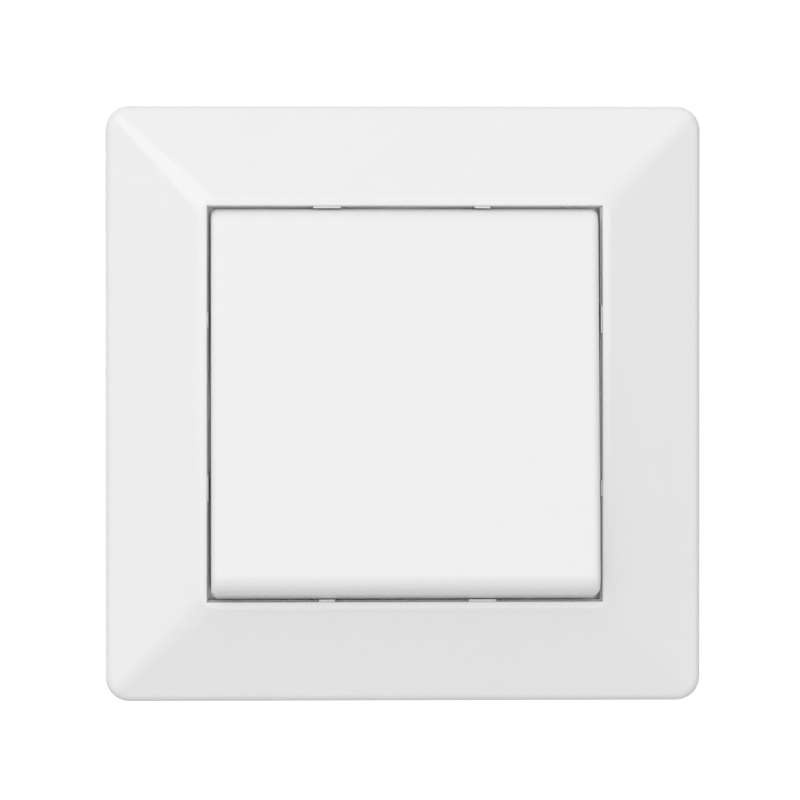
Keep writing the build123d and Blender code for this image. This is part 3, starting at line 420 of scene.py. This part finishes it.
@dataclass(frozen=True)
class Screw:
    """Threaded screw, or a set of them, that stands for a CAD node.

    Attributes:
        node: the node, whose box gives the screw's length and place.
        body: the body that it rides.
        head_way: direction from the tip to the head, along one axis.
        shank_r: radius over the thread.
        head_r: radius of the head.
        head_h: height of the head.
        pitch: rise of the thread in one turn.
        point: length of the tapered tip.
        drive: recess in the head.
    """

    node: str
    body: str
    head_way: tuple[int, int, int]
    shank_r: float
    head_r: float
    head_h: float
    pitch: float
    point: float
    drive: Drive

    SIDES: ClassVar[int] = 32
    ROWS_PER_TURN: ClassVar[int] = 6
    THREAD_DEPTH: ClassVar[float] = 0.5  # share of the pitch
    TIP_SHARE: ClassVar[float] = 0.35  # share of the shank's radius that is left at the tip
    CROWN_SHARE: ClassVar[float] = 1 / 3  # share of the head's height that is rounded
    CROWN_STEPS: ClassVar[int] = 6
    SLOT: ClassVar[float] = 0.8 * MM  # width and depth of the recess
    SLOT_REACH: ClassVar[float] = 1.2  # half length of a slot, as a share of the head's radius
    CROSS_REACH: ClassVar[float] = 0.6  # half length of a cross, as a share of the head's radius
    PLACE_DIGITS: ClassVar[int] = 5  # decimals of a metre, so that equal places fall together

    def build(self) -> bpy.types.Object:
        """Draw the screws in their places and let them stand for the node.

        Returns:
            The object that was made.
        """
        low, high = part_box(self.node)
        axis = max(range(3), key=lambda k: abs(self.head_way[k]))
        length = high[axis] - low[axis]
        single = self._draw(length)
        turn = Vector(self.head_way).to_track_quat("Z", "Y").to_matrix().to_4x4()
        shape = bmesh.new()
        for tip in self._tips(low, high, axis):
            copy = single.copy()
            copy.transform(Matrix.Translation(tip) @ turn)
            shape.from_mesh(copy)
            bpy.data.meshes.remove(copy)
        bpy.data.meshes.remove(single)
        return stand_for(self.node, self.body, f"{self.node}_threaded", shape, ZINC_SCREW)

    def _tips(self, low: Vector, high: Vector, axis: int) -> set[tuple[float, float, float]]:
        """Find the tips from the node's box, with a screw at each of its corners.

        Args:
            low: lowest corner of the box.
            high: highest corner of the box.
            axis: axis along which the screws lie.

        Returns:
            The places of the tips.
        """
        ends = []
        for k in range(3):
            if k == axis:
                ends.append({low[k] if self.head_way[k] > 0 else high[k]})
            else:
                rims = (low[k] + self.head_r, high[k] - self.head_r)
                ends.append({round(place, self.PLACE_DIGITS) for place in rims})
        return set(product(*ends))

    def _draw(self, length: float) -> bpy.types.Mesh:
        """Draw one screw along the upright, with its tip at the origin.

        Args:
            length: from the tip to the head's top.

        Returns:
            The mesh of the screw.
        """
        head = self._head(length)
        shape = bmesh.new()
        shape.from_mesh(head)
        bpy.data.meshes.remove(head)
        self._thread(shape, length - self.head_h / 2)
        return mesh_of(self.node, shape)

    def _thread(self, shape: bmesh.types.BMesh, length: float) -> None:
        """Add the threaded shank.

        Args:
            shape: mesh to add to.
            length: from the tip to the shank's end in the head.
        """
        count = round(length / self.pitch * self.ROWS_PER_TURN)
        rows = []
        for row in range(count + 1):
            height = length * row / count
            taper = self.TIP_SHARE + (1 - self.TIP_SHARE) * min(1.0, height / self.point)
            radii = []
            for side in range(self.SIDES):
                groove = abs(2 * ((height / self.pitch - side / self.SIDES) % 1.0) - 1)
                radii.append(taper * (self.shank_r - self.THREAD_DEPTH * self.pitch * groove))
            rows.append(ring(shape, radii, height))
        skin(shape, rows)

    def _head(self, length: float) -> bpy.types.Mesh:
        """Draw the head with its recess.

        Args:
            length: from the tip to the head's top.

        Returns:
            The mesh of the head.
        """
        crown = self.head_h * self.CROWN_SHARE
        shape = bmesh.new()
        rows = [ring(shape, [self.head_r] * self.SIDES, length - self.head_h)]
        for step in range(self.CROWN_STEPS + 1):
            angle = math.pi / 2 * step / self.CROWN_STEPS
            radius = self.head_r - crown * (1 - math.cos(angle))
            rows.append(ring(shape, [radius] * self.SIDES, length - crown * (1 - math.sin(angle))))
        skin(shape, rows)
        reach = self.head_r * (self.CROSS_REACH if self.drive is Drive.CROSS else self.SLOT_REACH)
        blades = [(reach, self.SLOT / 2), (self.SLOT / 2, reach)]
        return self._recessed(mesh_of("head", shape), blades[:self.drive.value], length)

    def _recessed(
        self, head: bpy.types.Mesh, blades: list[tuple[float, float]], top: float,
    ) -> bpy.types.Mesh:
        """Cut the driver's recess into a head.

        Args:
            head: mesh of the head, which is used up.
            blades: half sizes of the driver's blades.
            top: height of the head's top.

        Returns:
            The mesh with its recess.
        """
        body = put("head", head)
        tools = []
        for half_x, half_y in blades:
            shape = bmesh.new()
            bmesh.ops.create_cube(shape, size=2.0)
            bmesh.ops.scale(shape, vec=(half_x, half_y, self.SLOT), verts=shape.verts)
            bmesh.ops.translate(shape, vec=(0.0, 0.0, top), verts=shape.verts)
            tools.append(put("blade", mesh_of("blade", shape)))
        for tool in tools:
            cut = body.modifiers.new("recess", "BOOLEAN")
            cut.operation = "DIFFERENCE"
            cut.object = tool
        done = bpy.data.meshes.new_from_object(body.evaluated_get(bpy.context.evaluated_depsgraph_get()))
        for item in (body, *tools):
            mesh = item.data
            bpy.data.objects.remove(item)
            bpy.data.meshes.remove(mesh)
        return done


@dataclass(frozen=True)
class Spring:
    """Compression spring with closed ends, which a sliding piece shortens.

    Attributes:
        node: the node that it stands for, whose mesh gives its place and size.
        body: the body that it rides.
        slide: the joint that shortens it, along its own axis.
        wire_r: radius of the wire.
        turns: turns of the wire.
        closed: how many of them lie close at each end.
    """

    node: str
    body: str
    slide: str
    wire_r: float
    turns: int
    closed: int

    STEPS_PER_TURN: ClassVar[int] = 24
    SIDES: ClassVar[int] = 12

    def build(self) -> bpy.types.Object:
        """Wind the spring in its place and let it stand for the node.

        Returns:
            The object that was made.
        """
        slide = next(joint for joint in frame["joints"] if joint["name"] == self.slide)
        axis = Vector(slide["axis"]).normalized()
        low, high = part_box(self.node)
        middle = (low + high) / 2
        points = [vertex.co - middle for vertex in frame["nodes"][self.node].data.vertices]
        half = max(axis.dot(point) for point in points)
        outer_r = max((point - axis * axis.dot(point)).length for point in points)
        shape = self._wind(2 * half, outer_r - self.wire_r)
        turn = axis.to_track_quat("Z", "Y").to_matrix().to_4x4()
        shape.transform(Matrix.Translation(middle - axis * half) @ turn)
        spring = stand_for(self.node, self.body, f"{self.node}_wound", shape, SPRING_STEEL)
        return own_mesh(spring)

    def _wind(self, length: float, coil_r: float) -> bmesh.types.BMesh:
        """Wind the wire along the upright, with its lower end at the origin.

        Args:
            length: over the end turns.
            coil_r: from the axis to the middle of the wire.

        Returns:
            The shape of the wire.
        """
        tight = 2 * self.wire_r
        open_turns = self.turns - 2 * self.closed
        pitch = (length - tight - 2 * self.closed * tight) / open_turns
        shape = bmesh.new()
        rings = []
        for step in range(self.turns * self.STEPS_PER_TURN + 1):
            turn = step / self.STEPS_PER_TURN
            wide = min(max(turn - self.closed, 0.0), open_turns)
            height = self.wire_r + tight * (turn - wide) + pitch * wide
            angle = 2 * math.pi * turn
            section = []
            for side in range(self.SIDES):
                around = 2 * math.pi * side / self.SIDES
                reach = coil_r + self.wire_r * math.cos(around)
                section.append(shape.verts.new((
                    reach * math.cos(angle), reach * math.sin(angle), height - self.wire_r * math.sin(around),
                )))
            rings.append(section)
        skin(shape, rings)
        return shape


@dataclass
class CoverFrame:
    """Bevelled frame around the rocker.

    Attributes:
        node: the frame itself.
    """

    node: str = "cover_frame"

    def dress(self) -> None:
        """Give the frame its gloss."""
        dress(self.node, FRAME_WHITE)


@dataclass
class RockerKey:
    """Rocker cap with the lever, plunger and spring behind it.

    Attributes:
        cap: the key that is pressed.
        moulded: the nylon pieces behind it.
        spring: what pushes the plunger out.
    """

    cap: str = "rocker_cap"
    moulded: tuple[str, ...] = ("actuator", "plunger")
    spring: Spring = Spring(
        node="plunger_spring", body="rocker", slide="plunger_slide", wire_r=0.25 * MM, turns=6, closed=1,
    )

    def dress(self) -> None:
        """Give each piece of the rocker its finish."""
        dress(self.cap, ROCKER_WHITE)
        for node in self.moulded:
            dress(node, LEVER_NYLON)
        self.spring.build()


@dataclass
class Chassis:
    """Carrier, mounting plate and base.

    Attributes:
        carrier: the plate that the frame snaps on.
        plate: the steel plate behind it.
        base: the box that holds the contacts.
        screws: what joins the three.
    """

    carrier: str = "clip_carrier"
    plate: str = "mounting_plate"
    base: str = "base"
    screws: Screw = Screw(
        node="chassis_screws", body="chassis", head_way=(0, -1, 0), shank_r=1.3 * MM, head_r=2.5 * MM,
        head_h=1.7 * MM, pitch=0.9 * MM, point=2.4 * MM, drive=Drive.CROSS,
    )

    def dress(self) -> None:
        """Give the chassis pieces their finishes and screws."""
        dress(self.carrier, CARRIER_WHITE)
        dress(self.plate, ZINC_STEEL)
        dress(self.base, BASE_GREY)
        self.screws.build()


@dataclass
class Contacts:
    """Blade, strips, silver contacts and terminals.

    Attributes:
        blade: the see-saw strip.
        silver: the rivets that touch.
        strips: the brass strips to the terminals.
        clamps: the cages of the terminals.
        screws: their clamping screws, with the heads up in the line terminal and down in the other.
    """

    blade: str = "contact_blade"
    silver: tuple[str, ...] = ("moving_contact", "fixed_contact")
    strips: tuple[str, ...] = ("line_strip", "load_strip")
    clamps: tuple[str, ...] = ("line_clamp", "load_clamp")
    screws: tuple[Screw, ...] = tuple(
        Screw(
            node=node, body=node, head_way=(0, 0, up), shank_r=1.75 * MM, head_r=2.5 * MM, head_h=1.6 * MM,
            pitch=0.6 * MM, point=0.5 * MM, drive=Drive.SLOT,
        )
        for node, up in (("line_terminal_screw", 1), ("load_terminal_screw", -1))
    )

    def dress(self) -> None:
        """Give the contact pieces their metals."""
        dress(self.blade, BLADE_COPPER)
        for node in self.silver:
            dress(node, CONTACT_SILVER)
        for node in self.strips:
            dress(node, STRIP_BRASS)
        for node in self.clamps:
            dress(node, ZINC_STEEL)
        for screw in self.screws:
            screw.build()


@dataclass
class Claws:
    """Spreading claws with their pins and screws.

    Attributes:
        sides: where the two claws are.
        screws: the screws that push them out.
    """

    sides: tuple[str, ...] = ("left", "right")
    screws: tuple[Screw, ...] = tuple(
        Screw(
            node=f"{side}_claw_screw", body=f"{side}_claw_screw", head_way=(0, -1, 0), shank_r=1.45 * MM,
            head_r=2.75 * MM, head_h=1.8 * MM, pitch=0.5 * MM, point=1.1 * MM, drive=Drive.SLOT,
        )
        for side in sides
    )

    def dress(self) -> None:
        """Give the claws and their pins and screws their finishes."""
        for side in self.sides:
            dress(f"{side}_claw", ZINC_STEEL)
            dress(f"{side}_claw_pin", ZINC_SCREW)
        for screw in self.screws:
            screw.build()


@dataclass(frozen=True)
class Softbox:
    """Round studio light that faces the switch.

    Attributes:
        name: name of the light.
        right: degrees to the right of the switch's axis.
        up: degrees above it.
        distance: metres from the switch.
        size: diameter in metres.
        power: watts.
    """

    name: str
    right: float
    up: float
    distance: float
    size: float
    power: float

    def build(self) -> bpy.types.Object:
        """Place the light.

        Returns:
            The light object.
        """
        data = bpy.data.lights.new(self.name, "AREA")
        data.shape = "DISK"
        data.size = self.size
        data.energy = self.power
        light = put(self.name, data)
        way = heading(self.right, self.up)
        light.location = way * self.distance
        light.rotation_euler = way.to_track_quat("Z", "Y").to_euler()
        return light


@dataclass(frozen=True)
class Surroundings:
    """Light from all around, brighter towards some sides.

    Attributes:
        behind: brightness behind the switch, and of the white ground that the camera sees.
        behind_reach: how far back a way points, up to 1, where that light starts and where it is full.
        all_round: brightness elsewhere.
        ahead: brightness added in front of the switch.
        above: brightness added overhead.
        left: brightness added at the left.
    """

    behind: float = 1.06
    behind_reach: tuple[float, float] = (0.55, 0.97)
    all_round: float = 0.277
    ahead: float = 0.681
    above: float = 0.235
    left: float = 0.373

    def build(self) -> None:
        """Make the world and its light."""
        world = bpy.data.worlds.new("studio")
        bpy.context.scene.world = world
        world.use_nodes = True
        tree = world.node_tree
        way = tree.nodes.new("ShaderNodeTexCoord")
        split = tree.nodes.new("ShaderNodeSeparateXYZ")
        tree.links.new(way.outputs["Generated"], split.inputs["Vector"])
        sides = (("Y", -1.0, self.ahead), ("Z", 1.0, self.above), ("X", -1.0, self.left))
        total = self._ramp(tree, split.outputs["Y"], self.behind_reach, (self.all_round, self.behind))
        total.node.interpolation_type = "SMOOTHSTEP"
        for axis, sign, brightness in sides:
            part = self._ramp(tree, split.outputs[axis], (0.0, sign), (0.0, brightness))
            adder = tree.nodes.new("ShaderNodeMath")
            tree.links.new(total, adder.inputs[0])
            tree.links.new(part, adder.inputs[1])
            total = adder.outputs["Value"]
        seen = tree.nodes.new("ShaderNodeMix")
        seen.inputs["B"].default_value = self.behind
        tree.links.new(tree.nodes.new("ShaderNodeLightPath").outputs["Is Camera Ray"], seen.inputs["Factor"])
        tree.links.new(total, seen.inputs["A"])
        tree.nodes["Background"].inputs["Color"].default_value = (1.0, 1.0, 1.0, 1.0)
        tree.links.new(seen.outputs["Result"], tree.nodes["Background"].inputs["Strength"])

    def _ramp(
        self, tree: bpy.types.NodeTree, value: bpy.types.NodeSocket,
        reach: tuple[float, float], levels: tuple[float, float],
    ) -> bpy.types.NodeSocket:
        """Add a ramp of brightness.

        Args:
            tree: node tree to add to.
            value: what the ramp goes by.
            reach: values where it starts and ends.
            levels: brightness at those values.

        Returns:
            The ramp's output.
        """
        ramp = tree.nodes.new("ShaderNodeMapRange")
        ramp.inputs["From Min"].default_value, ramp.inputs["From Max"].default_value = reach
        ramp.inputs["To Min"].default_value, ramp.inputs["To Max"].default_value = levels
        tree.links.new(value, ramp.inputs["Value"])
        return ramp.outputs["Result"]


@dataclass
class Studio:
    """Plain pale floor, white surroundings and soft lights.

    Attributes:
        floor_drop: metres from the switch's middle down to the floor.
        floor_radius: radius of the round floor.
        floor_sides: sides of its outline.
        floor_colour: its colour.
        floor_roughness: its roughness.
        surroundings: light from all around.
        lights: the softboxes.
    """

    floor_drop: float = 0.6
    floor_radius: float = 5.0
    floor_sides: int = 96
    floor_colour: Colour = (0.65, 0.65, 0.65)
    floor_roughness: float = 0.9
    surroundings: Surroundings = Surroundings()
    lights: tuple[Softbox, ...] = (
        Softbox("streak_softbox", right=-18.0, up=18.0, distance=1.1, size=0.62, power=0.381),
        Softbox("front_softbox", right=-8.0, up=12.0, distance=1.4, size=1.2, power=3.27),
        Softbox("rear_softbox", right=155.0, up=30.0, distance=1.2, size=1.2, power=2.6),
    )

    def build(self) -> None:
        """Make the floor, the surroundings and the lights."""
        self._floor()
        self.surroundings.build()
        for light in self.lights:
            light.build()

    def _floor(self) -> None:
        """Lay a round floor under the switch."""
        shape = bmesh.new()
        bmesh.ops.create_circle(shape, cap_ends=True, radius=self.floor_radius, segments=self.floor_sides)
        mesh = mesh_of("floor", shape)
        floor = put("floor", mesh)
        floor.location.z = -self.floor_drop
        paint = bpy.data.materials.new("floor_paper")
        paint.use_nodes = True
        shader = paint.node_tree.nodes["Principled BSDF"]
        shader.inputs["Base Color"].default_value = (*self.floor_colour, 1.0)
        shader.inputs["Roughness"].default_value = self.floor_roughness
        mesh.materials.append(paint)


@dataclass
class PhotoCamera:
    """Camera at the photo's angle, with a long lens.

    Attributes:
        distance: metres to the frame's edge.
        left: degrees to the left of the switch's axis.
        above: degrees above it.
        image_px: width of the square image.
        frame_px: width of the frame in the image.
        frame_centre_px: centre of the frame in the image.
        edge_height: where the frame's outline lies, from the wall.
        sensor: width of the camera's sensor in millimetres.
    """

    distance: float = 1.2
    left: float = 3.0
    above: float = 1.1
    image_px: float = 800.0
    frame_px: float = 595.0
    frame_centre_px: tuple[float, float] = (403.5, 403.4)
    edge_height: float = 6.0 * MM
    sensor: float = 36.0

    def build(self) -> None:
        """Place the camera and make it the scene's."""
        low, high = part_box("cover_frame")
        metres_per_px = (high.x - low.x) / self.frame_px
        data = bpy.data.cameras.new("photo_camera")
        data.sensor_width = self.sensor
        data.lens = self.sensor * self.distance / (self.image_px * metres_per_px)
        camera = put("photo_camera", data)
        middle = self.image_px / 2
        aim = Vector((
            (middle - self.frame_centre_px[0]) * metres_per_px,
            -self.edge_height,
            (self.frame_centre_px[1] - middle) * metres_per_px,
        ))
        back = heading(-self.left, self.above)
        camera.location = aim + back * self.distance
        camera.rotation_euler = back.to_track_quat("Z", "Y").to_euler()
        bpy.context.scene.camera = camera


def main() -> None:
    """Dress the switch and set up its studio."""
    for assembly in (CoverFrame(), RockerKey(), Chassis(), Contacts(), Claws()):
        assembly.dress()
    Studio().build()
    PhotoCamera().build()
    bpy.context.scene.view_settings.view_transform = "Standard"


if __name__ == "__main__":
    main()
